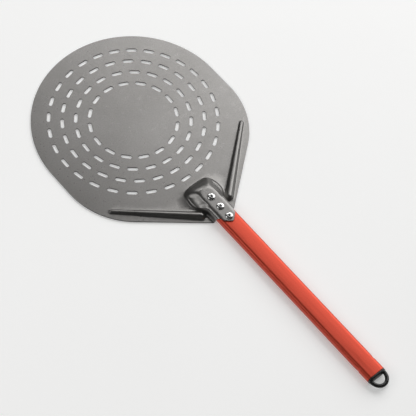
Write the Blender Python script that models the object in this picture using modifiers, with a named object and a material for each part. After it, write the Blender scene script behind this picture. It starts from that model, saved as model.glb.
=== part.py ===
"""Pizza peel: a perforated aluminium blade riveted over a flattened tube handle with a hanging loop.

Frame: +Z up, z = 0 on the blade's underside, origin at the centre of the blade's round part.
The blade's front edge is toward +Y, the handle runs toward -Y, and X is across.
"""

import math

import bmesh
import bpy

# --- driving dimensions, metres -------------------------------------------------------------
SHEET = 0.0018               # thickness of the blade's sheet
GAP = 0.0003                 # clearance between pieces that touch

BLADE_RADIUS = 0.151
SIDE_END_Y = -0.0422
SHOULDER_RADIUS = 0.120
TAPER_ANGLE = math.radians(51)   # between the rear edges and the peel's axis
BLADE_END_Y = -0.2095        # rear edge of the flat sheet, beside the neck

# Rings of slots: radius, slots on the +X half turn, slots on the -X half turn, turn in degrees
SLOT_RINGS = (
    (0.065, 8, 8, -3.0),
    (0.085, 10, 10, -3.6),
    (0.105, 12, 12, -4.0),
    (0.125, 15, 14, -1.2),
)
SLOT_LENGTH = 0.0162
SLOT_WIDTH = 0.0052

# Stiffening ribs: centre line from the shoulder to the neck, half width and height at each end
RIB_TIP = (0.1226, -0.1022)
RIB_ROOT = (0.0270, -0.1835)
RIB_TIP_HALF, RIB_ROOT_HALF = 0.0036, 0.0080
RIB_TIP_RISE, RIB_ROOT_RISE = 0.0022, 0.0060
RIB_SEAT_Z = 0.0004          # the ribs are sunk into the sheet from here up
RIB_SHRINK = 0.0014          # from a rib's outside to the hollow pressed under it

TUBE_WIDTH = 0.0296
TUBE_HEIGHT = 0.0135
TUBE_CORNER = 0.0055
TUBE_WALL = 0.0012
TUBE_FRONT_Y = -0.1680
TUBE_END_Y = -0.5260
DIMPLE_Y = -0.5045           # the dents that hold the plug
DIMPLE_RADIUS = 0.006
DIMPLE_DEPTH = 0.0007

NECK_TOP = TUBE_HEIGHT + GAP + SHEET
TONGUE_HALF = 0.0118
TONGUE_END_Y = -0.2255
NECK_END_Y = -0.2155         # where the neck's sides stop and the tongue goes on
FLARE_END_Y = -0.1650
NECK_SHRINK = 0.0028         # from the neck's outside to the hollow pressed under it
NECK_DROP = SHEET + 0.0007
HOLLOW_END_Y = -0.2400       # clear of the tongue
# Levels of the neck: z, front y, half widths of its front, flare and waist, and 1 where the tongue goes on
NECK_LEVELS = (
    (SHEET * 0.5, -0.1390, 0.0170, 0.0270, 0.0188, 0),
    (SHEET, -0.1395, 0.0167, 0.0265, 0.0186, 0),
    (NECK_TOP * 0.66, -0.1520, 0.0130, 0.0195, 0.0171, 0),
    (NECK_TOP - 0.0018, -0.1580, 0.0095, 0.0155, 0.0148, 1),
    (NECK_TOP, -0.1605, 0.0050, TONGUE_HALF + 0.0004, TONGUE_HALF, 1),
)

RIVET_Y = (-0.1770, -0.1968, -0.2166)
RIVET_HEAD_RADIUS = 0.0060
RIVET_HEAD_RISE = 0.0024
RIVET_SHANK_RADIUS = 0.0024
RIVET_BULB_RADIUS = 0.0034
RIVET_BORE_RADIUS = 0.0013
RIVET_GRIP = SHEET + GAP + TUBE_WALL     # what a rivet holds together
RIVET_TAIL = 0.0044          # its bulb and sleeve below the tube's wall
MANDREL_RADIUS = 0.0010
MANDREL_SINK = 0.0011        # from the top of the head down to the snapped pin
MANDREL_HEAD_HEIGHT = 0.0017
BLADE_HOLE_Z = (0.007, 0.018)            # rivet holes are cut between these heights
TUBE_HOLE_Z = (0.009, 0.018)

CAP_FLANGE = 0.0014          # the black rim on the end of the tube
CAP_SHOULDER = 0.0040        # how far the end face slopes down to the loop
CAP_PLUG_LENGTH = 0.026      # inside the tube
CAP_PLUG_WALL = 0.0022
LOOP_Z = TUBE_HEIGHT / 2
LOOP_BAR = 0.0056
LOOP_END_Y = -0.5460
LOOP_STRAIGHT = 0.0015       # before the loop starts to bend
LOOP_ROOT = 0.0008           # how far its ends are sunk into the cap

OVERSHOOT = 0.01             # how far a cutter goes past the face it opens
WELD = 1e-6
ARC_STEPS = 6
CORNER_STEPS = 5

# --- scene helpers --------------------------------------------------------------------------
for old in list(bpy.data.objects):
    bpy.data.objects.remove(old, do_unlink=True)
scene = bpy.context.scene
peel = bpy.data.collections.new("pizza_peel")
cutters = bpy.data.collections.new("cutters")
scene.collection.children.link(peel)
scene.collection.children.link(cutters)


def material(name, colour, roughness, metallic):
    """A Principled material; colour is linear RGB."""
    made = bpy.data.materials.new(name)
    made.use_nodes = True
    shader = made.node_tree.nodes["Principled BSDF"]
    shader.inputs["Base Color"].default_value = (*colour, 1.0)
    shader.inputs["Roughness"].default_value = roughness
    shader.inputs["Metallic"].default_value = metallic
    return made


def add_mesh(name, mesh, collection=peel):
    made = bpy.data.objects.new(name, mesh)
    collection.objects.link(made)
    if collection is cutters:
        made.hide_render = True
        made.display_type = "WIRE"
    return made


def finish_part(part, paint, crease=35):
    part.data.materials.clear()
    part.data.materials.append(paint)
    part.data.shade_smooth()
    part.data.set_sharp_from_angle(angle=math.radians(crease))
    return part


def arc(centre, radius, start, end, steps=ARC_STEPS):
    """Points along an arc, its ends included; angles in degrees from +X."""
    turns = [math.radians(start + (end - start) * i / steps) for i in range(steps + 1)]
    return [(centre[0] + radius * math.cos(t), centre[1] + radius * math.sin(t)) for t in turns]


def mirrored(right_side):
    """A closed outline from its +X side, which runs from the front to the back."""
    return right_side + [(-x, y) for x, y in reversed(right_side) if x > 1e-9]


def solid_from(work, name, collection):
    """The bmesh as a new object, its faces turned outwards."""
    bmesh.ops.recalc_face_normals(work, faces=work.faces)
    mesh = bpy.data.meshes.new(name)
    work.to_mesh(mesh)
    work.free()
    return add_mesh(name, mesh, collection)


def solid_of_curve(name, curve, paths, closed, height, collection):
    """The welded solid that a curve with an extrusion or a bevel makes along (x, y) paths."""
    for path in paths:
        spline = curve.splines.new("POLY")
        spline.points.add(len(path) - 1)
        for point, (x, y) in zip(spline.points, path):
            point.co = (x, y, 0, 1)
        spline.use_cyclic_u = closed
    guide = bpy.data.objects.new(name + "_guide", curve)
    scene.collection.objects.link(guide)
    bpy.context.view_layer.update()
    mesh = bpy.data.meshes.new_from_object(guide.evaluated_get(bpy.context.evaluated_depsgraph_get()))
    bpy.data.objects.remove(guide, do_unlink=True)
    work = bmesh.new()
    work.from_mesh(mesh)
    bpy.data.meshes.remove(mesh)
    bmesh.ops.remove_doubles(work, verts=work.verts, dist=WELD)
    bmesh.ops.translate(work, verts=work.verts, vec=(0, 0, height))
    return solid_from(work, name, collection)


def loft(name, sections, collection=cutters):
    """A closed solid through sections that all have the same number of points."""
    work = bmesh.new()
    rows = [[work.verts.new(point) for point in section] for section in sections]
    for low, high in zip(rows, rows[1:]):
        for i in range(len(low)):
            j = (i + 1) % len(low)
            work.faces.new((low[i], low[j], high[j], high[i]))
    caps = [work.faces.new(rows[0]), work.faces.new(rows[-1])]
    bmesh.ops.poke(work, faces=caps)
    return solid_from(work, name, collection)


def rivet_holes(name, heights):
    """Cutters for the three rivet shanks between two heights."""
    low, high = heights
    made = []
    for i, y in enumerate(RIVET_Y, 1):
        work = bmesh.new()
        radius = RIVET_SHANK_RADIUS + GAP
        bmesh.ops.create_cone(
            work, cap_ends=True, segments=20, radius1=radius, radius2=radius, depth=high - low
        )
        bmesh.ops.translate(work, verts=work.verts, vec=(0, y, (high + low) / 2))
        made.append(solid_from(work, f"{name}_{i}", cutters))
    return made


def combine(target, others, operation):
    """Joins the others to the target, or cuts them all from it in one step."""
    group = bpy.data.collections.new(f"{target.name}_{operation.lower()}")
    cutters.children.link(group)
    for other in others:
        group.objects.link(other)
        cutters.objects.unlink(other)
    step = target.modifiers.new(group.name, "BOOLEAN")
    step.operation = operation
    step.solver = "EXACT"
    step.operand_type = "COLLECTION"
    step.collection = group


def turned(name, profile, steps=20):
    """A solid of revolution from (radius, z) points that run down its outer side."""
    mesh = bpy.data.meshes.new(name)
    count = len(profile)
    closed = profile[0][0] > 0 or profile[-1][0] > 0
    edges = [(i, (i + 1) % count) for i in range(count if closed else count - 1)]
    mesh.from_pydata([(r, 0, z) for r, z in profile], edges, [])
    made = add_mesh(name, mesh)
    screw = made.modifiers.new("turn", "SCREW")
    screw.steps = screw.render_steps = steps
    screw.use_merge_vertices = True
    screw.merge_threshold = 1e-6
    screw.use_smooth_shade = True
    return made


# --- blade ----------------------------------------------------------------------------------
def blade_outline():
    side = arc((0, 0), BLADE_RADIUS, 90, 0, 32)
    shoulder_centre = (BLADE_RADIUS - SHOULDER_RADIUS, SIDE_END_Y)
    side += arc(shoulder_centre, SHOULDER_RADIUS, 0, -math.degrees(TAPER_ANGLE), 12)
    x, y = side[-1]
    side.append((x - (y - BLADE_END_Y) * math.tan(TAPER_ANGLE), BLADE_END_Y))
    return mirrored(side)


def slot_outline(radius, bearing):
    """A round-ended slot tangent to its ring; bearing in degrees from the handle toward +X."""
    turn = math.radians(bearing - 90)
    half = (SLOT_LENGTH - SLOT_WIDTH) / 2
    points = arc((half, 0), SLOT_WIDTH / 2, -90, 90, 4) + arc((-half, 0), SLOT_WIDTH / 2, 90, 270, 4)
    cos_t, sin_t = math.cos(turn), math.sin(turn)
    return [((radius - v) * cos_t - u * sin_t, (radius - v) * sin_t + u * cos_t) for u, v in points]


def slot_outlines():
    found = []
    for radius, right_count, left_count, turn in SLOT_RINGS:
        found += [slot_outline(radius, turn + 180 * i / right_count) for i in range(right_count)]
        found += [slot_outline(radius, turn + 180 + 180 * i / left_count) for i in range(left_count)]
    return found


def rib_length():
    return math.hypot(RIB_ROOT[0] - RIB_TIP[0], RIB_ROOT[1] - RIB_TIP[1])


def rib_section(share, shrink, base, side):
    """One half-round section of a rib, at a share of the way from its tip to its root."""
    x = RIB_TIP[0] + (RIB_ROOT[0] - RIB_TIP[0]) * share
    y = RIB_TIP[1] + (RIB_ROOT[1] - RIB_TIP[1]) * share
    along = rib_length()
    across = ((RIB_ROOT[1] - RIB_TIP[1]) / along, -(RIB_ROOT[0] - RIB_TIP[0]) / along)
    inside = min(max(share, 0), 1)
    half = RIB_TIP_HALF + (RIB_ROOT_HALF - RIB_TIP_HALF) * inside - shrink
    rise = RIB_TIP_RISE + (RIB_ROOT_RISE - RIB_TIP_RISE) * inside
    past = (share - inside) * along / half
    squeeze = math.sqrt(max(1 - past * past, 0.03))
    points = [(half * squeeze, base)]
    points += [
        (half * squeeze * math.cos(t), base + SHEET * 0.6 + rise * squeeze * math.sin(t))
        for t in [math.pi * i / 8 for i in range(9)]
    ]
    points.append((-half * squeeze, base))
    return [(side * (x + across[0] * u), y + across[1] * u, z) for u, z in points]


def rib(name, shrink, base, side):
    tip = (RIB_TIP_HALF - shrink) / rib_length()
    root = (RIB_ROOT_HALF - shrink) / rib_length()
    shares = [-tip * c for c in (0.97, 0.75, 0.4)] + [0, 0.5, 1]
    shares += [1 + root * c for c in (0.4, 0.75, 0.97)]
    return loft(name, [rib_section(s, shrink, base, side) for s in shares])


def neck_section(z, front, front_half, flare, waist, end, tongue):
    """One level of the neck: a rounded front, a flare behind it, a straight waist and the tongue."""
    tip = min(waist, TONGUE_HALF)
    side = [
        (0, front),
        (front_half, front - 0.0004),
        (front_half + (flare - front_half) * 0.6, front - 0.0035),
        (flare, front - 0.0110),
        (flare, min(FLARE_END_Y, front - 0.0120)),
        (waist + (flare - waist) * 0.60, -0.1765),
        (waist + (flare - waist) * 0.15, -0.1840),
        (waist, -0.1920),
        (waist, end),
        (tip - 0.0002, end - 0.0001),
        (tip - 0.0003, end - max(tongue - 0.0090, 0.0002)),
        (tip * 0.80, end - max(tongue - 0.0042, 0.0003)),
        (tip * 0.38, end - max(tongue, 0.0004)),
    ]
    return [(x, y, z) for x, y in mirrored(side)]


def neck(name, shrink, drop, end):
    """The raised neck's outer shape, or with shrink and drop the hollow under it."""
    tongue = 0 if shrink else NECK_END_Y - TONGUE_END_Y
    sections = []
    for z, front, front_half, flare, waist, tongued in NECK_LEVELS:
        halves = (front_half - shrink, flare - shrink, waist - shrink)
        sections.append(neck_section(z - drop, front - shrink, *halves, end, tongue * tongued))
    return loft(name, sections)


def build_blade():
    outlines = [blade_outline()] + slot_outlines()
    curve = bpy.data.curves.new("blade", "CURVE")
    curve.dimensions = "2D"
    curve.fill_mode = "BOTH"
    curve.extrude = SHEET / 2
    blade = solid_of_curve("blade", curve, outlines, True, SHEET / 2, peel)
    raised = [neck("neck_outer", 0, 0, NECK_END_Y)]
    hollow = [
        neck("neck_hollow", NECK_SHRINK, NECK_DROP, HOLLOW_END_Y),
        tube_solid("tube_channel", GAP, TUBE_FRONT_Y + GAP, HOLLOW_END_Y),
    ]
    for name, side in (("rib_right", 1), ("rib_left", -1)):
        raised.append(rib(name, 0, RIB_SEAT_Z, side))
        hollow.append(rib(name + "_hollow", RIB_SHRINK, -RIB_SHRINK, side))
    combine(blade, raised, "UNION")
    combine(blade, hollow + rivet_holes("blade_hole", BLADE_HOLE_Z), "DIFFERENCE")
    return blade


# --- handle tube ----------------------------------------------------------------------------
def oblong(half, low, high, corner, y):
    """A rounded rectangle across the handle, as points at one y."""
    points = arc((half - corner, high - corner), corner, 0, 90, CORNER_STEPS)
    points += arc((corner - half, high - corner), corner, 90, 180, CORNER_STEPS)
    points += arc((corner - half, low + corner), corner, 180, 270, CORNER_STEPS)
    points += arc((half - corner, low + corner), corner, 270, 360, CORNER_STEPS)
    return [(x, y, z) for x, z in points]


def tube_section(grow, y):
    """The tube's outer section, grown by a margin."""
    return oblong(TUBE_WIDTH / 2 + grow, -grow, TUBE_HEIGHT + grow, TUBE_CORNER + grow, y)


def tube_solid(name, grow, front, end, collection=cutters):
    return loft(name, [tube_section(grow, front), tube_section(grow, end)], collection)


def dimple(name, side):
    """The ball that dents one side of the tube; side is 1 or -1."""
    work = bmesh.new()
    bmesh.ops.create_icosphere(work, subdivisions=3, radius=DIMPLE_RADIUS)
    reach = TUBE_WIDTH / 2 + DIMPLE_RADIUS - DIMPLE_DEPTH
    bmesh.ops.translate(work, verts=work.verts, vec=(side * reach, DIMPLE_Y, TUBE_HEIGHT / 2))
    return solid_from(work, name, cutters)


def build_tube():
    tube = tube_solid("handle_tube", 0, TUBE_FRONT_Y, TUBE_END_Y, peel)
    cuts = [tube_solid("tube_bore", -TUBE_WALL, TUBE_FRONT_Y + OVERSHOOT, TUBE_END_Y - OVERSHOOT)]
    cuts += rivet_holes("tube_hole", TUBE_HOLE_Z)
    cuts += [dimple("dimple_right", 1), dimple("dimple_left", -1)]
    combine(tube, cuts, "DIFFERENCE")
    return tube


# --- end cap with hanging loop --------------------------------------------------------------
def loop_ring(name):
    half = TUBE_WIDTH / 2 - LOOP_BAR / 2
    start = TUBE_END_Y - CAP_FLANGE
    bend = start - LOOP_STRAIGHT
    reach = bend - LOOP_END_Y - LOOP_BAR / 2
    bow = arc((0, 0), 1, 0, 180, 14)
    path = [(half, start + LOOP_ROOT)]
    path += [(half * x, bend - reach * y) for x, y in bow]
    path.append((-half, start + LOOP_ROOT))
    curve = bpy.data.curves.new(name, "CURVE")
    curve.dimensions = "3D"
    curve.bevel_depth = LOOP_BAR / 2
    curve.bevel_resolution = 3
    curve.use_fill_caps = True
    return solid_of_curve(name, curve, [path], False, LOOP_Z, cutters)


def build_cap():
    face = TUBE_END_Y - GAP
    sections = [tube_section(0, face), tube_section(0, face - CAP_FLANGE)]
    # the face slopes in: share of the shoulder's length, and how far the edge has drawn in
    for share, drop in ((0.35, 0.0006), (0.75, 0.0022), (1.0, 0.0044)):
        y = face - CAP_FLANGE - CAP_SHOULDER * share
        half = TUBE_WIDTH / 2 - drop * 0.7
        corner = (TUBE_HEIGHT / 2 - drop) * 0.55
        sections.append(oblong(half, drop, TUBE_HEIGHT - drop, corner, y))
    cap = loft("end_cap", sections, peel)
    inner = -TUBE_WALL - GAP
    plug = tube_solid("plug", inner, face - CAP_FLANGE / 2, face + CAP_PLUG_LENGTH)
    hollow = tube_solid(
        "plug_hollow", inner - CAP_PLUG_WALL, face + CAP_PLUG_WALL, face + CAP_PLUG_LENGTH + OVERSHOOT
    )
    combine(cap, [plug, loop_ring("hanging_loop")], "UNION")
    combine(cap, [hollow], "DIFFERENCE")
    return cap


# --- rivets ---------------------------------------------------------------------------------
def rivet_profile():
    """(radius, z) down the outside of a set blind rivet and back up its bore, from z = 0 under the head."""
    rise = RIVET_HEAD_RISE
    dome = [(RIVET_BORE_RADIUS + 0.0006, rise - 0.0001)]
    dome += [
        (RIVET_HEAD_RADIUS * math.sin(t), rise * (0.25 + 0.75 * math.cos(t)))
        for t in [math.radians(a) for a in (35, 52, 68, 80, 90)]
    ]
    dome.append((RIVET_HEAD_RADIUS, 0))
    shank = [
        (RIVET_SHANK_RADIUS, 0),
        (RIVET_SHANK_RADIUS, -RIVET_GRIP - GAP),
        (RIVET_BULB_RADIUS, -RIVET_GRIP - RIVET_TAIL * 0.36),
        (RIVET_BULB_RADIUS, -RIVET_GRIP - RIVET_TAIL * 0.68),
        (RIVET_SHANK_RADIUS, -RIVET_GRIP - RIVET_TAIL),
        (RIVET_BORE_RADIUS, -RIVET_GRIP - RIVET_TAIL),
    ]
    return dome + shank + [(RIVET_BORE_RADIUS, rise - 0.0007)]


def mandrel_profile():
    """(radius, z) down the outside of the broken-off pin that stays in the rivet."""
    top = RIVET_HEAD_RISE - MANDREL_SINK
    low = -RIVET_GRIP - RIVET_TAIL - GAP
    head = RIVET_SHANK_RADIUS - GAP
    return [
        (0, top),
        (MANDREL_RADIUS, top),
        (MANDREL_RADIUS, low),
        (head, low),
        (head * 0.7, low - MANDREL_HEAD_HEIGHT * 0.8),
        (0, low - MANDREL_HEAD_HEIGHT),
    ]


def build_rivets(body_paint, pin_paint):
    seat = NECK_TOP + GAP
    for i, y in enumerate(RIVET_Y, 1):
        body = turned(f"rivet_{i}", rivet_profile(), 24)
        pin = turned(f"rivet_mandrel_{i}", mandrel_profile(), 12)
        for part, paint in ((body, body_paint), (pin, pin_paint)):
            part.location = (0, y, seat)
            part.data.materials.append(paint)


# --- build ----------------------------------------------------------------------------------
blade_paint = material("hard_anodised_aluminium", (0.27, 0.26, 0.25), 0.45, 0.85)
tube_paint = material("red_anodised_aluminium", (0.66, 0.10, 0.055), 0.38, 0.6)
cap_paint = material("black_plastic", (0.012, 0.012, 0.013), 0.3, 0.0)
rivet_paint = material("bright_aluminium", (0.80, 0.80, 0.79), 0.22, 1.0)
mandrel_paint = material("steel", (0.30, 0.30, 0.31), 0.35, 1.0)

finish_part(build_blade(), blade_paint)
finish_part(build_tube(), tube_paint)
finish_part(build_cap(), cap_paint)
build_rivets(rivet_paint, mandrel_paint)
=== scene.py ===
"""Looks of the pizza peel: a fine pressed blade, a satin tube, a moulded cap and set rivets.

The peel lies on a pale floor in a soft studio. Lengths are in metres unless a name or comment says
otherwise. The blade's centre is the origin and the handle runs along -Y.
"""

import math

import bmesh
import bpy
from mathutils import Matrix, Vector, geometry
from mathutils.bvhtree import BVHTree


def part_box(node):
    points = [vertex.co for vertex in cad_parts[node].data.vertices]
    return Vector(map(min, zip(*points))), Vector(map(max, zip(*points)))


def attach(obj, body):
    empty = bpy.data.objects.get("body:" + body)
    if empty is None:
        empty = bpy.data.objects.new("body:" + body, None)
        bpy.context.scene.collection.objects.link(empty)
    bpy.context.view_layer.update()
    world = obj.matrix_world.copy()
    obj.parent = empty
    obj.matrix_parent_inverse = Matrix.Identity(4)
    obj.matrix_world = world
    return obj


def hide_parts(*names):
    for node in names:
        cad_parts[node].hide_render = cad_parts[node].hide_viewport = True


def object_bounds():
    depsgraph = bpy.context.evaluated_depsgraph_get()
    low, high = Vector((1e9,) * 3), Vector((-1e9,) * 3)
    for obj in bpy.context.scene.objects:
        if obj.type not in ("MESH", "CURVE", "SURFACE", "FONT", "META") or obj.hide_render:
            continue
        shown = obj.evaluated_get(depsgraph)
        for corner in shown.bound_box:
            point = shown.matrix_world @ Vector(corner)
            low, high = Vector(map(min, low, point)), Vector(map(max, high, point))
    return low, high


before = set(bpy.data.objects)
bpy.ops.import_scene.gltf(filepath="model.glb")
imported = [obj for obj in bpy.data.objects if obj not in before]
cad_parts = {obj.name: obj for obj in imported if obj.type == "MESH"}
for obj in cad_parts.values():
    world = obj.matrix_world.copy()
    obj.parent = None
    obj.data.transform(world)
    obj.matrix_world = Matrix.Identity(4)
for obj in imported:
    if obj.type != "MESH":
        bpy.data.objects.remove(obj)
cad_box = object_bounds()

# --- sizes read from the frame, metres ------------------------------------------------------
blade_low, blade_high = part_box("blade")
tube_low, tube_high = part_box("handle_tube")
cap_low, cap_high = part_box("end_cap")

SHEET = 0.0018                       # blade sheet; its neck is drawn thinner
DRAWN = 0.0004                       # how much thinner the sheet is at the top of the neck
EASE = 0.00025                       # how far a free edge is eased down
EDGE = 0.00030                       # width of the eased edges of sheet and slots
UPRIGHT = 0.2                        # most that a rim face's normal may lean and still take the painted shade
BLADE_RADIUS = blade_high.x
TUBE_HALF = tube_high.x
TUBE_TOP = tube_high.z
NECK_RISE = blade_high.z - SHEET
TONGUE_END_Y = blade_low.y
TUBE_FRONT_Y = tube_high.y
TUBE_END_Y = tube_low.y
RIVET_NODES = ("rivet_1", "rivet_2", "rivet_3")

SHOULDER_RADIUS = 0.120
SIDE_END_Y = -0.0422
TAPER_ANGLE = math.radians(51)
TONGUE_HALF = 0.0118
TONGUE_FOOT_X = 0.0205               # where the straight taper ends and the tongue begins
NECK_FRONT_Y = -0.1380               # the neck is raised only behind this line
NECK_HALF = 0.0295

SLOT_LENGTH = 0.0162
SLOT_WIDTH = 0.0052
# radius, slots on the +X half turn, slots on the -X half turn, turn in degrees
SLOT_RINGS = (
    (0.065, 8, 8, -3.0),
    (0.085, 10, 10, -3.6),
    (0.105, 12, 12, -4.0),
    (0.125, 15, 14, -1.2),
)

RIB_TIP = Vector((0.1226, -0.1022))
RIB_ROOT = Vector((0.0262, -0.1868))
RIB_HALF = (0.0040, 0.0074)          # at the tip and at the root
RIB_RISE = (0.0026, 0.0056)

# the free points of the blade's mesh
FLAT_STEP = 0.0075                   # grid over the flat
FLAT_END_Y = -0.150                  # the grid stops here, short of the neck
SLOT_CLEAR = 0.0100                  # no grid point this near a slot's centre
PLATEAU_START_Y = -0.1635
PLATEAU_STEP = (0.0025, 0.0018)
PLATEAU_COUNT = (4, 36)

TUBE_CORNER = 0.0055
TUBE_WALL = 0.0012
TUBE_LIP = 0.0005                    # radius of the tube's rolled rims
CORNER_STEPS = 9
TUBE_STRIDE = 0.012
CRIMP_Y = -0.5065                    # where the punch stopped, its steep end
CRIMP_RUN = (0.0100, 0.0014)         # gently in from the blade's side, steeply out toward the cap
CRIMP_DEPTH = 0.0006
CRIMP_STRIDE = 0.0006
CRIMP_CENTRE = 0.52                  # its middle and half height, as shares of the tube's height
CRIMP_REACH = 0.46
CRIMP_SIDE = 0.55                    # only what lies outside this share of the half width moves

PLUG_GAP = 0.0016                    # from the tube's outside to the plug's
PLUG_LENGTH = 0.026
LOOP_BAR = 0.0056                    # thickness of the loop's round bar
LOOP_START = 0.0032                  # straight run before the loop bends
LOOP_SUNK = 0.0020                   # how far its ends reach back into the cap's shoulder
LOOP_Z = TUBE_TOP / 2

BORE = 0.0018                        # radius of the mandrel's bore through a rivet

MM = 0.001
TINY = 1e-6                          # nearer than this to the middle counts as on it


# --- small helpers --------------------------------------------------------------------------
def mix(a, b, share):
    """The value a share of the way from a to b."""
    return a + (b - a) * share


def smooth_step(low, high, value):
    """0 below low, 1 above high, and eased between."""
    share = min(max((value - low) / (high - low), 0), 1)
    return share * share * (3 - 2 * share)


def arc(centre, radius, start, end, steps):
    """Points along an arc, ends included; angles in degrees from +X."""
    turns = [math.radians(mix(start, end, i / steps)) for i in range(steps + 1)]
    return [(centre[0] + radius * math.cos(t), centre[1] + radius * math.sin(t)) for t in turns]


def smooth_line(points, per_span):
    """Catmull-Rom points through a list of tuples of any length, ends included."""
    made = []
    last = len(points) - 1
    for i in range(last):
        a, b, c, d = points[max(i - 1, 0)], points[i], points[i + 1], points[min(i + 2, last)]
        for step in range(per_span):
            t = step / per_span
            made.append(tuple(
                0.5 * (2 * q + (r - p) * t + (2 * p - 5 * q + 4 * r - s) * t ** 2
                       + (3 * q - p - 3 * r + s) * t ** 3)
                for p, q, r, s in zip(a, b, c, d)
            ))
    made.append(tuple(points[-1]))
    return made


def offset_loop(loop, distance):
    """The loop moved to its left by a distance, point by point."""
    made = []
    for i, point in enumerate(loop):
        here = Vector(point)
        before = (here - Vector(loop[i - 1])).normalized()
        after = (Vector(loop[(i + 1) % len(loop)]) - here).normalized()
        along = (before + after).normalized()
        stretch = 1 / max(along.dot(before), 0.5)
        made.append((here.x - along.y * distance * stretch, here.y + along.x * distance * stretch))
    return made


def add_piece(name, mesh, paint, slot, *nodes):
    """Puts a mesh in the scene as a piece that stands for CAD nodes and rides on the peel."""
    piece = bpy.data.objects.new(name, mesh)
    bpy.context.scene.collection.objects.link(piece)
    mesh.materials.clear()
    mesh.materials.append(paint)
    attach(piece, "root")
    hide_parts(*nodes)
    return piece


def mesh_from(name, work, smooth_angle):
    """A smooth-shaded mesh from a bmesh, sharp where faces meet at more than the angle."""
    mesh = bpy.data.meshes.new(name)
    work.normal_update()
    work.to_mesh(mesh)
    work.free()
    mesh.shade_smooth()
    mesh.set_sharp_from_angle(angle=math.radians(smooth_angle))
    return mesh


# --- materials ------------------------------------------------------------------------------
class Paint:
    """A Principled material whose colour, roughness and bump are built from nodes."""

    def __init__(self, name, metallic, roughness):
        self.material = bpy.data.materials.new(name)
        self.material.use_nodes = True
        self.tree = self.material.node_tree
        self.shader = self.tree.nodes["Principled BSDF"]
        self.shader.inputs["Metallic"].default_value = metallic
        self.shader.inputs["Roughness"].default_value = roughness
        self.place = self.tree.nodes.new("ShaderNodeTexCoord").outputs["Object"]

    def link(self, source, target):
        self.tree.links.new(source, target)

    def noise(self, scale, detail=4.0, stretch=(1, 1, 1), roughness=0.55):
        mapping = self.tree.nodes.new("ShaderNodeMapping")
        mapping.inputs["Scale"].default_value = stretch
        self.link(self.place, mapping.inputs["Vector"])
        node = self.tree.nodes.new("ShaderNodeTexNoise")
        node.inputs["Scale"].default_value = scale
        node.inputs["Detail"].default_value = detail
        node.inputs["Roughness"].default_value = roughness
        self.link(mapping.outputs["Vector"], node.inputs["Vector"])
        return node.outputs["Fac"]

    def ramp(self, source, stops):
        """A colour ramp; each stop is (position, grey or colour)."""
        node = self.tree.nodes.new("ShaderNodeValToRGB")
        ramp = node.color_ramp
        while len(ramp.elements) < len(stops):
            ramp.elements.new(0.5)
        for element, (position, colour) in zip(ramp.elements, stops):
            element.position = position
            element.color = (*colour, 1) if isinstance(colour, tuple) else (colour, colour, colour, 1)
        self.link(source, node.inputs["Fac"])
        return node.outputs["Color"]

    def blend(self, factor, a, b, mode="MIX"):
        node = self.tree.nodes.new("ShaderNodeMix")
        node.data_type = "RGBA"
        node.blend_type = mode
        for socket, value in ((node.inputs[0], factor), (node.inputs[6], a), (node.inputs[7], b)):
            if isinstance(value, (float, int)):
                socket.default_value = value
            elif isinstance(value, tuple):
                socket.default_value = (*value, 1)
            else:
                self.link(value, socket)
        return node.outputs[2]

    def bump(self, heights):
        """Stacked bump: (source, strength, distance in metres) from coarse to fine."""
        normal = None
        for source, strength, distance in heights:
            node = self.tree.nodes.new("ShaderNodeBump")
            node.inputs["Strength"].default_value = strength
            node.inputs["Distance"].default_value = distance
            self.link(source, node.inputs["Height"])
            if normal:
                self.link(normal, node.inputs["Normal"])
            normal = node.outputs["Normal"]
        self.link(normal, self.shader.inputs["Normal"])

    def colour(self, source):
        self.link(source, self.shader.inputs["Base Color"])

    def rough(self, source):
        self.link(source, self.shader.inputs["Roughness"])


def blade_paint():
    """Hard-anodised aluminium: a matt grey skin with a fine pebbled grain and faint cloudy patches."""
    paint = Paint("hard_anodised_aluminium", 0.90, 0.36)
    clouds = paint.ramp(paint.noise(9, 3),
                        [(0.30, (0.222, 0.215, 0.207)), (0.72, (0.259, 0.252, 0.244))])
    grain = paint.ramp(paint.noise(520, 5), [(0.25, 0.78), (0.75, 1.0)])
    paint.colour(paint.blend(1.0, clouds, grain, "MULTIPLY"))
    paint.rough(paint.ramp(paint.noise(240, 4), [(0.3, 0.27), (0.7, 0.35)]))
    paint.bump([(paint.noise(700, 3), 0.16, 0.00005), (paint.noise(60, 2), 0.08, 0.0004)])
    return paint.material


def edge_shade_paint():
    """The punched edges of the sheet, its rim and slot walls: a near-black painted shade for walls
    turned away from the lamps, and rougher than the rolled faces.
    """
    paint = Paint("edge_wall_painted_shade", 0.90, 0.50)
    # near-black colour: painted shade on walls turned away from the lamps
    paint.colour(paint.ramp(paint.noise(600, 3), [(0.3, 0.035), (0.7, 0.055)]))
    paint.rough(paint.ramp(paint.noise(900, 3), [(0.3, 0.42), (0.7, 0.60)]))
    paint.bump([(paint.noise(900, 3), 0.3, 0.00005)])
    return paint.material


def tube_paint():
    """Red anodised aluminium, satin, with a faint grain drawn out along the tube."""
    paint = Paint("red_anodised_aluminium", 0.70, 0.34)
    drawn = paint.noise(260, 4, (1, 0.06, 1))
    speckle = paint.noise(900, 3)
    base = paint.ramp(drawn, [(0.3, (0.598, 0.070, 0.038)), (0.7, (0.683, 0.086, 0.047))])
    paint.colour(paint.blend(1.0, base, paint.ramp(speckle, [(0.3, 0.86), (0.7, 1.0)]), "MULTIPLY"))
    paint.rough(paint.ramp(drawn, [(0.3, 0.31), (0.7, 0.42)]))
    paint.bump([(drawn, 0.12, 0.00006), (speckle, 0.18, 0.00003)])
    return paint.material


def cap_paint():
    """Black moulded plastic with a low sheen and a trace of mould texture."""
    paint = Paint("black_plastic", 0.0, 0.30)
    paint.colour(paint.ramp(paint.noise(180, 3), [(0.3, 0.006), (0.7, 0.013)]))
    paint.rough(paint.ramp(paint.noise(420, 3), [(0.3, 0.18), (0.7, 0.32)]))
    paint.bump([(paint.noise(900, 3), 0.25, 0.00005)])
    return paint.material


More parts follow.
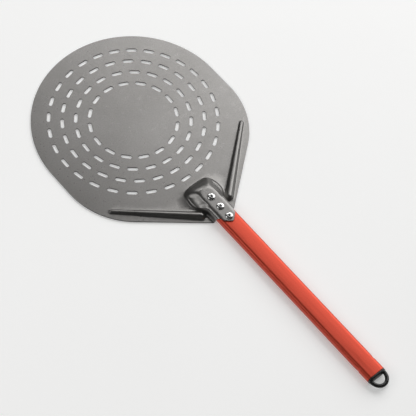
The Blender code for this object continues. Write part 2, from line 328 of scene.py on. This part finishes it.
def rivet_paint():
    """Bright aluminium with light scuffs from setting."""
    paint = Paint("bright_aluminium", 1.0, 0.22)
    paint.colour(paint.ramp(paint.noise(300, 3),
                            [(0.3, (0.74, 0.74, 0.73)), (0.7, (0.88, 0.88, 0.87))]))
    paint.rough(paint.ramp(paint.noise(700, 4), [(0.3, 0.14), (0.7, 0.32)]))
    paint.bump([(paint.noise(600, 3), 0.10, 0.00005)])
    return paint.material


def mandrel_paint():
    """Snapped steel pin: dark and rough on its broken face."""
    paint = Paint("snapped_steel", 1.0, 0.45)
    paint.colour(paint.ramp(paint.noise(900, 4), [(0.3, 0.05), (0.7, 0.16)]))
    paint.rough(paint.ramp(paint.noise(1500, 3), [(0.3, 0.35), (0.7, 0.6)]))
    paint.bump([(paint.noise(1200, 4), 0.5, 0.0001)])
    return paint.material


def floor_paint():
    """A pale matt table, lit a little from within so that shadows and slots stay pale."""
    paint = Paint("pale_floor", 0.0, 0.85)
    paint.colour(paint.ramp(paint.noise(3, 2),
                            [(0.3, (0.80, 0.80, 0.795)), (0.7, (0.815, 0.815, 0.81))]))
    paint.shader.inputs["Emission Color"].default_value = (1.0, 1.0, 0.99, 1)
    paint.shader.inputs["Emission Strength"].default_value = FLOOR_GLOW
    return paint.material


# --- blade ----------------------------------------------------------------------------------
# Walls of the pressed neck, millimetres: foot x, foot y, plateau x, plateau y, flare share,
# rear share. They run from the front centre round the +X side to the end, and the two shares
# pick the section.
NECK_WALLS = (
    (0.0, -138.4, 0.0, -160.8, 0.0, 0.0),
    (8.5, -138.5, 2.6, -161.2, 0.0, 0.0),
    (16.0, -139.2, 5.0, -162.4, 0.0, 0.0),
    (21.6, -141.6, 6.8, -164.2, 0.0, 0.0),
    (25.2, -145.8, 8.0, -166.4, 0.35, 0.0),
    (27.4, -151.0, 8.8, -169.0, 0.95, 0.0),
    (28.8, -157.5, 9.2, -172.2, 1.0, 0.0),
    (29.2, -164.5, 9.3, -175.6, 1.0, 0.0),
    (28.4, -170.8, 9.3, -178.6, 1.0, 0.0),
    (26.2, -176.2, 9.3, -181.4, 0.8, 0.2),
    (23.4, -181.2, 9.3, -184.4, 0.4, 0.6),
    (21.2, -186.0, 9.3, -187.8, 0.1, 0.9),
    (19.9, -191.5, 9.3, -192.2, 0.0, 1.0),
    (19.6, -199.0, 9.3, -199.2, 0.0, 1.0),
    (19.6, -207.5, 9.3, -207.5, 0.0, 1.0),
    (19.6, -217.0, 9.3, -217.0, 0.0, 1.0),
    (19.6, -227.5, 9.3, -227.5, 0.0, 1.0),
)
# Sections of the wall from foot to plateau: (share of the way in, share of the rise).
FRONT_SECTION = (
    (0, 0), (0.03, 0.008), (0.06, 0.035), (0.10, 0.10), (0.16, 0.21), (0.25, 0.36),
    (0.40, 0.56), (0.55, 0.72), (0.70, 0.85), (0.82, 0.935), (0.91, 0.982), (1, 1),
)
FLARE_SECTION = (
    (0, 0), (0.040, 0.018), (0.075, 0.058), (0.106, 0.123), (0.136, 0.203), (0.181, 0.283),
    (0.246, 0.341), (0.337, 0.399), (0.462, 0.50), (0.613, 0.659), (0.734, 0.812),
    (0.784, 0.880), (0.834, 0.938), (0.905, 0.982), (1, 1),
)
REAR_SECTION = (
    (0, 0), (0.097, 0.007), (0.165, 0.043), (0.214, 0.13), (0.243, 0.268), (0.262, 0.449),
    (0.287, 0.592), (0.361, 0.725), (0.479, 0.838), (0.631, 0.926), (0.809, 0.981), (1, 1),
)
# How far in each level of the wall stands; they are closest where the rear wall is steep.
WALL_LEVELS = (
    0, 0.03, 0.06, 0.09, 0.12, 0.145, 0.165, 0.185, 0.20, 0.214, 0.226, 0.236, 0.244, 0.252,
    0.262, 0.274, 0.287, 0.305, 0.33, 0.361, 0.40, 0.44, 0.479, 0.53, 0.58, 0.631, 0.69, 0.735,
    0.784, 0.834, 0.87, 0.905, 0.95, 1,
)
WALL_STEPS = 6                       # rows for each row of NECK_WALLS
SECTION_STEPS = 6


def along_section(section, share):
    """Second value of a section's points at a share along the first."""
    for (u0, h0), (u1, h1) in zip(section, section[1:]):
        if share <= u1:
            return mix(h0, h1, (share - u0) / (u1 - u0))
    return 1.0


SMOOTH_SECTIONS = [smooth_line(s, SECTION_STEPS)
                   for s in (FRONT_SECTION, FLARE_SECTION, REAR_SECTION)]


def wall_rows():
    """Rows of (x, y, height) from foot to plateau, one for each step round the +X half of the neck."""
    rows = []
    for foot_x, foot_y, top_x, top_y, flare, rear in smooth_line(NECK_WALLS, WALL_STEPS):
        flare, rear = min(max(flare, 0), 1), min(max(rear, 0), 1)
        shares = (max(1 - flare - rear, 0), flare, rear)
        total = sum(shares)
        row = []
        for u in WALL_LEVELS:
            rise = sum(k * along_section(s, u) for k, s in zip(shares, SMOOTH_SECTIONS)) / total
            row.append((mix(foot_x, top_x, u) * MM, mix(foot_y, top_y, u) * MM, rise * NECK_RISE))
        rows.append(row)
    return rows


# Section of a rib from its crest outward: (share of the half width, share of the rise).
RIB_SECTION = smooth_line((
    (0, 1), (0.22, 0.965), (0.42, 0.83), (0.60, 0.58), (0.78, 0.27), (0.92, 0.085),
    (1.06, 0.018), (1.2, 0),
), 5)
RIB_REACH = 1.2
RIB_STATIONS = 90
RIB_COLUMNS = 12
RIB_OVERRUN = 6                      # stations past each end

rib_length = (RIB_ROOT - RIB_TIP).length
rib_forward = (RIB_ROOT - RIB_TIP) / rib_length


def rib_place(share, across):
    """Plan position on the +X rib: a share of its length, and a share of its half width across."""
    half = mix(*RIB_HALF, min(max(share, 0), 1))
    side = Vector((-rib_forward.y, rib_forward.x))
    return RIB_TIP + rib_forward * (rib_length * share) + side * (half * across)


def rib_height(x, y):
    """How far the ribs stand above the flat at a plan position."""
    place = Vector((abs(x), y)) - RIB_TIP
    along = place.dot(rib_forward)
    share = min(max(along / rib_length, 0), 1)
    off = (place - rib_forward * (rib_length * share)).length / mix(*RIB_HALF, share)
    if off >= RIB_REACH:
        return 0.0
    return along_section(RIB_SECTION, off) * mix(*RIB_RISE, share)


class NeckHeights:
    """Height of the neck at any plan position, from its wall rows and the plateau between them."""

    def __init__(self, rows):
        verts, faces = [], []
        for row in rows:
            verts.extend(Vector(p) for p in row)
            verts.append(Vector((-0.0001, row[-1][1], NECK_RISE)))
        width = len(rows[0]) + 1
        for i in range(len(rows) - 1):
            for j in range(width - 1):
                a = i * width + j
                faces.append((a, a + 1, a + 1 + width, a + width))
        self.tree = BVHTree.FromPolygons(verts, faces)

    def at(self, x, y):
        place = self.tree.ray_cast(Vector((abs(x), y, 1)), Vector((0, 0, -1)))[0]
        return place.z if place else 0.0


def slot_outline(radius, bearing, grow=0.0):
    """A round-ended slot tangent to its ring; bearing in degrees from the handle toward +X."""
    turn = math.radians(bearing - 90)
    half = (SLOT_LENGTH - SLOT_WIDTH) / 2
    reach = SLOT_WIDTH / 2 + grow
    flat = arc((half, 0), reach, -90, 90, 9) + arc((-half, 0), reach, 90, 270, 9)
    cos_t, sin_t = math.cos(turn), math.sin(turn)
    return [((radius - v) * cos_t - u * sin_t, (radius - v) * sin_t + u * cos_t) for u, v in flat]


def slot_bearings():
    """Ring radius and bearing of every slot."""
    found = []
    for radius, right_count, left_count, turn in SLOT_RINGS:
        found += [(radius, turn + 180 * i / right_count) for i in range(right_count)]
        found += [(radius, turn + 180 + 180 * i / left_count) for i in range(left_count)]
    return found


def blade_outline():
    """The sheet's plan outline, clockwise from the front centre down its +X side and back up."""
    side = arc((0, 0), BLADE_RADIUS, 90, 0, 72)
    side += [(BLADE_RADIUS, SIDE_END_Y * i / 8) for i in range(1, 8)]
    side += arc((BLADE_RADIUS - SHOULDER_RADIUS, SIDE_END_Y), SHOULDER_RADIUS, 0,
                -math.degrees(TAPER_ANGLE), 30)
    start = Vector(side[-1])
    run_x = start.x - TONGUE_FOOT_X
    side += [(start.x - run_x * i / 60, start.y - run_x * i / 60 / math.tan(TAPER_ANGLE))
             for i in range(1, 61)]
    corner_y = side[-1][1]
    side += smooth_line((
        (TONGUE_FOOT_X, corner_y), (0.0190, corner_y - 0.0009), (0.0178, corner_y - 0.0014),
        (0.0170, corner_y - 0.0020), (0.0164, corner_y - 0.0030), (0.0158, corner_y - 0.0040),
        (0.0146, corner_y - 0.0052), (0.0132, corner_y - 0.0061), (0.0122, corner_y - 0.0069),
        (TONGUE_HALF, corner_y - 0.0082),
    ), 4)[1:]
    side += smooth_line((
        (0.0112, -0.2166), (0.0101, -0.2179), (0.0066, -0.2210), (0.0026, -0.2245),
        (0.0013, TONGUE_END_Y + 0.0002), (0, TONGUE_END_Y),
    ), 3)
    return side + [(-x, y) for x, y in reversed(side[1:-1])]


def inside(loop, x, y):
    """Whether a plan position lies inside a closed loop."""
    hit = False
    for (x0, y0), (x1, y1) in zip(loop, loop[1:] + loop[:1]):
        if (y0 > y) != (y1 > y) and x < (x1 - x0) * (y - y0) / (y1 - y0) + x0:
            hit = not hit
    return hit


def scattered_points(outline):
    """Free plan points: the neck's rows, the ribs' rows and a grid over the flat between the slots."""
    rows = wall_rows()
    free = [(x, y) for row in rows for x, y, _ in row]
    free += [tuple(rib_place(i / RIB_STATIONS, RIB_REACH * j / RIB_COLUMNS))
             for i in range(-RIB_OVERRUN, RIB_STATIONS + RIB_OVERRUN + 1)
             for j in range(-RIB_COLUMNS, RIB_COLUMNS + 1)]
    free += [(x * PLATEAU_STEP[0], PLATEAU_START_Y - y * PLATEAU_STEP[1])
             for x in range(PLATEAU_COUNT[0]) for y in range(PLATEAU_COUNT[1])]
    free += [(-x, y) for x, y in free if x > TINY]
    centres = []
    for radius, bearing in slot_bearings():
        turn = math.radians(bearing - 90)
        centres.append((radius * math.cos(turn), radius * math.sin(turn)))
    reach = int(BLADE_RADIUS / FLAT_STEP) + 1
    for i in range(-reach, reach + 1):
        for j in range(-reach, reach + 1):
            x, y = i * FLAT_STEP, j * FLAT_STEP
            if y > FLAT_END_Y and all((x - a) ** 2 + (y - b) ** 2 > SLOT_CLEAR ** 2
                                      for a, b in centres):
                free.append((x, y))
    inner = offset_loop(outline, -EDGE * 2)
    return rows, [p for p in free if inside(inner, *p)]


def blade_mesh():
    """The pressed sheet: plan points triangulated, raised to shape, then given thickness."""
    outline = blade_outline()
    holes = [slot_outline(r, b) for r, b in slot_bearings()]
    rows, points = scattered_points(outline)
    edges = []
    loops = [outline, offset_loop(outline, -EDGE)] + holes
    loops += [slot_outline(r, b, EDGE) for r, b in slot_bearings()]
    for loop in loops:
        first = len(points)
        ids = list(range(first, first + len(loop)))
        points += loop
        edges += zip(ids, ids[1:] + ids[:1])
    flat, _, triangles = geometry.delaunay_2d_cdt([Vector(p) for p in points], edges, [], 0, 1e-6)[:3]
    boxed = [(min(x for x, _ in h), max(x for x, _ in h),
              min(y for _, y in h), max(y for _, y in h), h) for h in holes]
    neck = NeckHeights(rows)
    work = bmesh.new()
    for x, y in flat:
        height = neck.at(x, y) if y < NECK_FRONT_Y and abs(x) < NECK_HALF else 0.0
        work.verts.new((x, y, SHEET + max(height, rib_height(x, y))))
    work.verts.ensure_lookup_table()
    for triangle in triangles:
        x = sum(flat[i].x for i in triangle) / 3
        y = sum(flat[i].y for i in triangle) / 3
        in_slot = any(a < x < b and c < y < d and inside(h, x, y) for a, b, c, d, h in boxed)
        if inside(outline, x, y) and not in_slot:
            work.faces.new([work.verts[i] for i in triangle])
    bmesh.ops.delete(work, geom=[v for v in work.verts if not v.link_faces], context="VERTS")
    thicken(work)
    return mesh_from("blade_sheet", work, 28)


def thicken(work):
    """Gives an open sheet its underside and a rim, with every free edge eased."""
    bmesh.ops.recalc_face_normals(work, faces=work.faces)
    if sum(f.normal.z for f in work.faces) < 0:
        bmesh.ops.reverse_faces(work, faces=work.faces)
    work.normal_update()
    top_verts, top_faces = list(work.verts), list(work.faces)
    rim_edges = [e for e in work.edges if len(e.link_faces) == 1]
    rim_verts = {v for e in rim_edges for v in e.verts}
    under = {}
    normals = {v: v.normal.copy() for v in top_verts}
    for vert in top_verts:
        drawn = min((vert.co.z - SHEET) / NECK_RISE, 1)
        depth = SHEET - DRAWN * drawn
        eased = EASE if vert in rim_verts else 0
        under[vert] = work.verts.new(vert.co - normals[vert] * (depth - eased))
    for vert in rim_verts:
        vert.co -= normals[vert] * EASE
    order = []
    for edge in rim_edges:
        loop = edge.link_faces[0].loops
        a, b = next((l.vert, l.link_loop_next.vert) for l in loop if l.edge == edge)
        order.append((a, b))
    for face in top_faces:
        work.faces.new([under[v] for v in reversed(face.verts)])
    for a, b in order:
        work.faces.new((b, a, under[a], under[b]))


def paint_edge_walls_shade(mesh):
    """Gives the upright faces of the flat sheet's rims the near-black painted shade material."""
    mesh.materials.append(edge_shade_paint())
    for face in mesh.polygons:
        if abs(face.normal.z) < UPRIGHT and face.center.z < SHEET:
            face.material_index = 1


# --- handle, cap and rivets -----------------------------------------------------------------

def rounded_section(half_x, low_z, high_z, corner):
    """A rounded rectangle in XZ, counter-clockwise seen from the cap end."""
    turns = ((half_x - corner, high_z - corner, 0), (-half_x + corner, high_z - corner, 90),
             (-half_x + corner, low_z + corner, 180), (half_x - corner, low_z + corner, 270))
    return [(x, z) for cx, cz, start in turns
            for x, z in arc((cx, cz), corner, start, start + 90, CORNER_STEPS)]


def skin(work, rings):
    """Quads between successive closed rings of the same count of points."""
    made = [[work.verts.new(p) for p in ring] for ring in rings]
    count = len(made[0])
    for a, b in zip(made, made[1:]):
        for i in range(count):
            j = (i + 1) % count
            work.faces.new((a[i], a[j], b[j], b[i]))
    return made


def tube_mesh():
    """The hollow tube with its rolled rims and the crimps that hold the cap."""
    # cross-sections along the tube: close at its rims, wide on the straight, close at the crimps
    stations = [TUBE_FRONT_Y, TUBE_FRONT_Y - 0.0004, TUBE_FRONT_Y - 0.0010]
    y = TUBE_FRONT_Y - 0.004
    while y > CRIMP_Y + 0.013:
        stations.append(y)
        y -= TUBE_STRIDE
    stations += [CRIMP_Y + CRIMP_STRIDE * k for k in range(20, -6, -1)]
    stations += [TUBE_END_Y + 0.0040, TUBE_END_Y + 0.0012, TUBE_END_Y + 0.0005, TUBE_END_Y]
    rings, inner = [], []
    for y in stations:
        lip = max(TUBE_LIP - min(TUBE_FRONT_Y - y, y - TUBE_END_Y), 0)
        ring = rounded_section(TUBE_HALF - lip, lip, TUBE_TOP - lip, TUBE_CORNER)
        rings.append([(pressed_x(x, y, z), y, z) for x, z in ring])
        wall = TUBE_WALL - lip
        ring = rounded_section(TUBE_HALF - wall - lip, wall + lip, TUBE_TOP - wall - lip,
                               TUBE_CORNER - TUBE_WALL)
        inner.append([(pressed_x(x, y, z), y, z) for x, z in ring])
    work = bmesh.new()
    skin(work, rings + inner[::-1] + [rings[0]])
    bmesh.ops.remove_doubles(work, verts=work.verts, dist=1e-7)
    bmesh.ops.recalc_face_normals(work, faces=work.faces)
    return mesh_from("handle_tube_fine", work, 40)


def pressed_x(x, y, z):
    """Pushes the tube's sides in at the crimps."""
    off = y - CRIMP_Y
    run = off / CRIMP_RUN[0] if off > 0 else -off / CRIMP_RUN[1]
    up = (z - TUBE_TOP * CRIMP_CENTRE) / (TUBE_TOP * CRIMP_REACH)
    if run >= 1 or abs(up) >= 1 or abs(x) < TUBE_HALF * CRIMP_SIDE:
        return x
    share = (1 - smooth_step(0, 1, run)) * (1 - up ** 4)
    return x - math.copysign(CRIMP_DEPTH * share, x)


def cap_mesh():
    """The moulded plug's face and its shoulder, as one closed skin."""
    work = bmesh.new()
    # how far each ring stands inside the tube's section, and how far it is toward the blade
    steps = (
        (PLUG_GAP, PLUG_LENGTH), (PLUG_GAP, 0.0001), (0.0001, -0.0004), (0, -0.0008), (0, -0.0020),
        (0.0003, -0.0027), (0.0010, -0.0031), (0.0024, -0.0036), (0.0042, -0.0041),
        (0.0058, -0.0046),
    )
    rings = []
    for shrink, ahead in steps:
        section = rounded_section(cap_high.x - shrink, shrink, cap_high.z - shrink,
                                  max(TUBE_CORNER - shrink, 0.0006))
        rings.append([(x, TUBE_END_Y + ahead, z) for x, z in section])
    made = skin(work, rings)
    for loop in (made[0], made[-1]):
        work.faces.new(loop)
    bmesh.ops.recalc_face_normals(work, faces=work.faces)
    return mesh_from("end_cap_body", work, 35)


def loop_mesh():
    """The D of round bar that the peel hangs from, its ends buried in the cap's shoulder."""
    half = TUBE_HALF - LOOP_BAR / 2
    bend = TUBE_END_Y - LOOP_START
    reach = bend - cap_low.y - LOOP_BAR / 2
    path = [(half, bend + LOOP_SUNK)]
    path += [(half * x, bend - reach * y) for x, y in arc((0, 0), 1, 0, 180, 48)]
    path.append((-half, bend + LOOP_SUNK))
    rings = []
    for i, (x, y) in enumerate(path):
        ahead = Vector(path[min(i + 1, len(path) - 1)]) - Vector(path[max(i - 1, 0)])
        out = Vector((ahead.y, -ahead.x)).normalized()
        ring = []
        for u, v in arc((0, 0), LOOP_BAR / 2, 0, 360, 20)[:-1]:
            ring.append((x + out.x * u, y + out.y * u, LOOP_Z + v))
        rings.append(ring)
    work = bmesh.new()
    made = skin(work, rings)
    work.faces.new(made[0])
    work.faces.new(made[-1])
    bmesh.ops.recalc_face_normals(work, faces=work.faces)
    return mesh_from("hanging_loop", work, 50)


def turned(profile, centre, steps=48):
    """A surface of revolution about +Z from (radius, height) points, with both ends capped."""
    work = bmesh.new()
    rings = []
    for radius, height in profile:
        rings.append([(centre[0] + x * radius, centre[1] + y * radius, centre[2] + height)
                      for x, y in arc((0, 0), 1, 0, 360, steps)[:-1]])
    made = skin(work, rings)
    work.faces.new(made[0])
    work.faces.new(made[-1])
    bmesh.ops.recalc_face_normals(work, faces=work.faces)
    return work


def rivet_mesh(name, low, high):
    """A set blind rivet: a low dome with a rolled lip, and the mandrel's bore through it."""
    radius = (high.x - low.x) / 2
    centre = ((low.x + high.x) / 2, (low.y + high.y) / 2, blade_high.z + 0.00004)
    rise = high.z - centre[2]
    outer = smooth_line(((radius * 0.985, 0.0), (radius, rise * 0.16), (radius * 0.955, rise * 0.38),
                         (radius * 0.83, rise * 0.66), (radius * 0.64, rise * 0.88),
                         (radius * 0.44, rise * 0.985), (BORE + 0.0006, rise * 0.985)), 4)
    inner = [(BORE + 0.00015, rise * 0.90), (BORE, rise * 0.74), (BORE, rise * 0.30)]
    return mesh_from(name, turned(outer + inner, centre), 60)


def mandrel_mesh(name, low, high):
    """The snapped stub of the pulled pin, down in the rivet's bore."""
    centre = ((low.x + high.x) / 2, (low.y + high.y) / 2, blade_high.z)
    rise = high.z - blade_high.z
    profile = [(BORE - 0.0002, 0.0002), (BORE - 0.0002, rise * 0.55), (BORE - 0.0004, rise * 0.68),
               (BORE - 0.0009, rise * 0.66), (BORE - 0.0013, rise * 0.74)]
    return mesh_from(name, turned(profile, centre, 20), 30)


# --- put together ---------------------------------------------------------------------------
blade_finish = blade_paint()
tube_finish = tube_paint()
cap_finish = cap_paint()
rivet_finish = rivet_paint()
mandrel_finish = mandrel_paint()

sheet = add_piece("blade_sheet", blade_mesh(), blade_finish, "blade", "blade")
# the upright rims and slot walls take a near-black painted shade
paint_edge_walls_shade(sheet.data)
add_piece("handle_tube_fine", tube_mesh(), tube_finish, "handle", "handle_tube")
add_piece("end_cap_body", cap_mesh(), cap_finish, "end_cap", "end_cap")
add_piece("hanging_loop", loop_mesh(), cap_finish, "end_cap", "end_cap")
for i, node in enumerate(RIVET_NODES, 1):
    low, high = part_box(node)
    add_piece(f"rivet_head_{i}", rivet_mesh(f"rivet_head_{i}", low, high), rivet_finish, "rivet",
              node)
    low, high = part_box(f"rivet_mandrel_{i}")
    add_piece(f"rivet_pin_{i}", mandrel_mesh(f"rivet_pin_{i}", low, high), mandrel_finish,
              "mandrel", f"rivet_mandrel_{i}")

# --- studio ---------------------------------------------------------------------------------
# The view: a long lens above and behind the handle's -X side, turned a little clockwise.
TARGET = Vector((-0.00922, -0.18199, 0))
DISTANCE = 2.2964
LENS_MM = 138.46
ELEVATION = math.radians(60.09)
HEADING = Vector((-0.7225, -0.6914))         # where the camera stands, seen in plan
ROLL = math.radians(7.175)
SENSOR_MM = 36

AIM = Vector((0, -0.15, 0))                  # what the lights point at
WORLD_LIGHT = 0.04
FLOOR_HALF = 6.0
FLOOR_CENTRE = (0, -0.2)
FLOOR_GLOW = 0.25
FLOOR_DROP = 0.0008                          # the peel stands on the unevenness of its underside


def view_axes():
    """The camera's right, up and backward directions."""
    back = Vector((HEADING.x * math.cos(ELEVATION), HEADING.y * math.cos(ELEVATION),
                   math.sin(ELEVATION)))
    level = Vector((-HEADING.y, HEADING.x, 0))
    rise = back.cross(level)
    right = level * math.cos(ROLL) + rise * math.sin(ROLL)
    up = rise * math.cos(ROLL) - level * math.sin(ROLL)
    return right, up, back


def add_camera():
    lens = bpy.data.cameras.new("view")
    lens.lens = LENS_MM
    lens.sensor_width = SENSOR_MM
    camera = bpy.data.objects.new("view", lens)
    right, up, back = view_axes()
    placed = Matrix((right, up, back)).transposed().to_4x4()
    placed.translation = TARGET + back * DISTANCE
    camera.matrix_world = placed
    bpy.context.scene.collection.objects.link(camera)
    bpy.context.scene.camera = camera


def add_softbox(name, bearing, elevation, distance, size, power, seen=True):
    """A rectangular light aimed at the blade; bearing in degrees from +X toward +Y."""
    lamp = bpy.data.lights.new(name, "AREA")
    lamp.shape = "RECTANGLE"
    lamp.size, lamp.size_y = size
    lamp.energy = power
    turn, tilt = math.radians(bearing), math.radians(elevation)
    away = Vector((math.cos(turn) * math.cos(tilt), math.sin(turn) * math.cos(tilt), math.sin(tilt)))
    box = bpy.data.objects.new(name, lamp)
    box.location = AIM + away * distance
    box.visible_glossy = seen
    box.rotation_euler = away.to_track_quat("Z", "Y").to_euler()
    bpy.context.scene.collection.objects.link(box)


def add_floor():
    """A pale plane just below the peel, which stays out of the exported model."""
    mesh = bpy.data.meshes.new("floor")
    work = bmesh.new()
    bmesh.ops.create_grid(work, x_segments=2, y_segments=2, size=FLOOR_HALF)
    work.to_mesh(mesh)
    work.free()
    floor = bpy.data.objects.new("floor", mesh)
    floor.location = (*FLOOR_CENTRE, cad_box[0][2] - FLOOR_DROP)
    mesh.materials.append(floor_paint())
    bpy.context.scene.collection.objects.link(floor)


def add_world():
    world = bpy.data.worlds.new("studio")
    world.use_nodes = True
    bpy.context.scene.world = world
    shade = world.node_tree.nodes["Background"]
    shade.inputs["Color"].default_value = (1.0, 1.0, 1.0, 1)
    shade.inputs["Strength"].default_value = WORLD_LIGHT


add_camera()
add_floor()
add_world()
# name, bearing and elevation in degrees, distance and size in metres, power in watts
add_softbox("key", 16, 38, 3.2, (3.7, 3.0), 93)
add_softbox("left", 152, 36, 2.6, (1.2, 0.8), 8)
add_softbox("back", 72, 32, 2.6, (0.9, 0.4), 6)
add_softbox("fill", 205, 50, 1.7, (1.0, 1.0), 4, seen=False)
add_softbox("overhead", 0, 90, 3.0, (2.0, 2.0), 10, seen=False)

bpy.context.scene.view_settings.view_transform = "Standard"
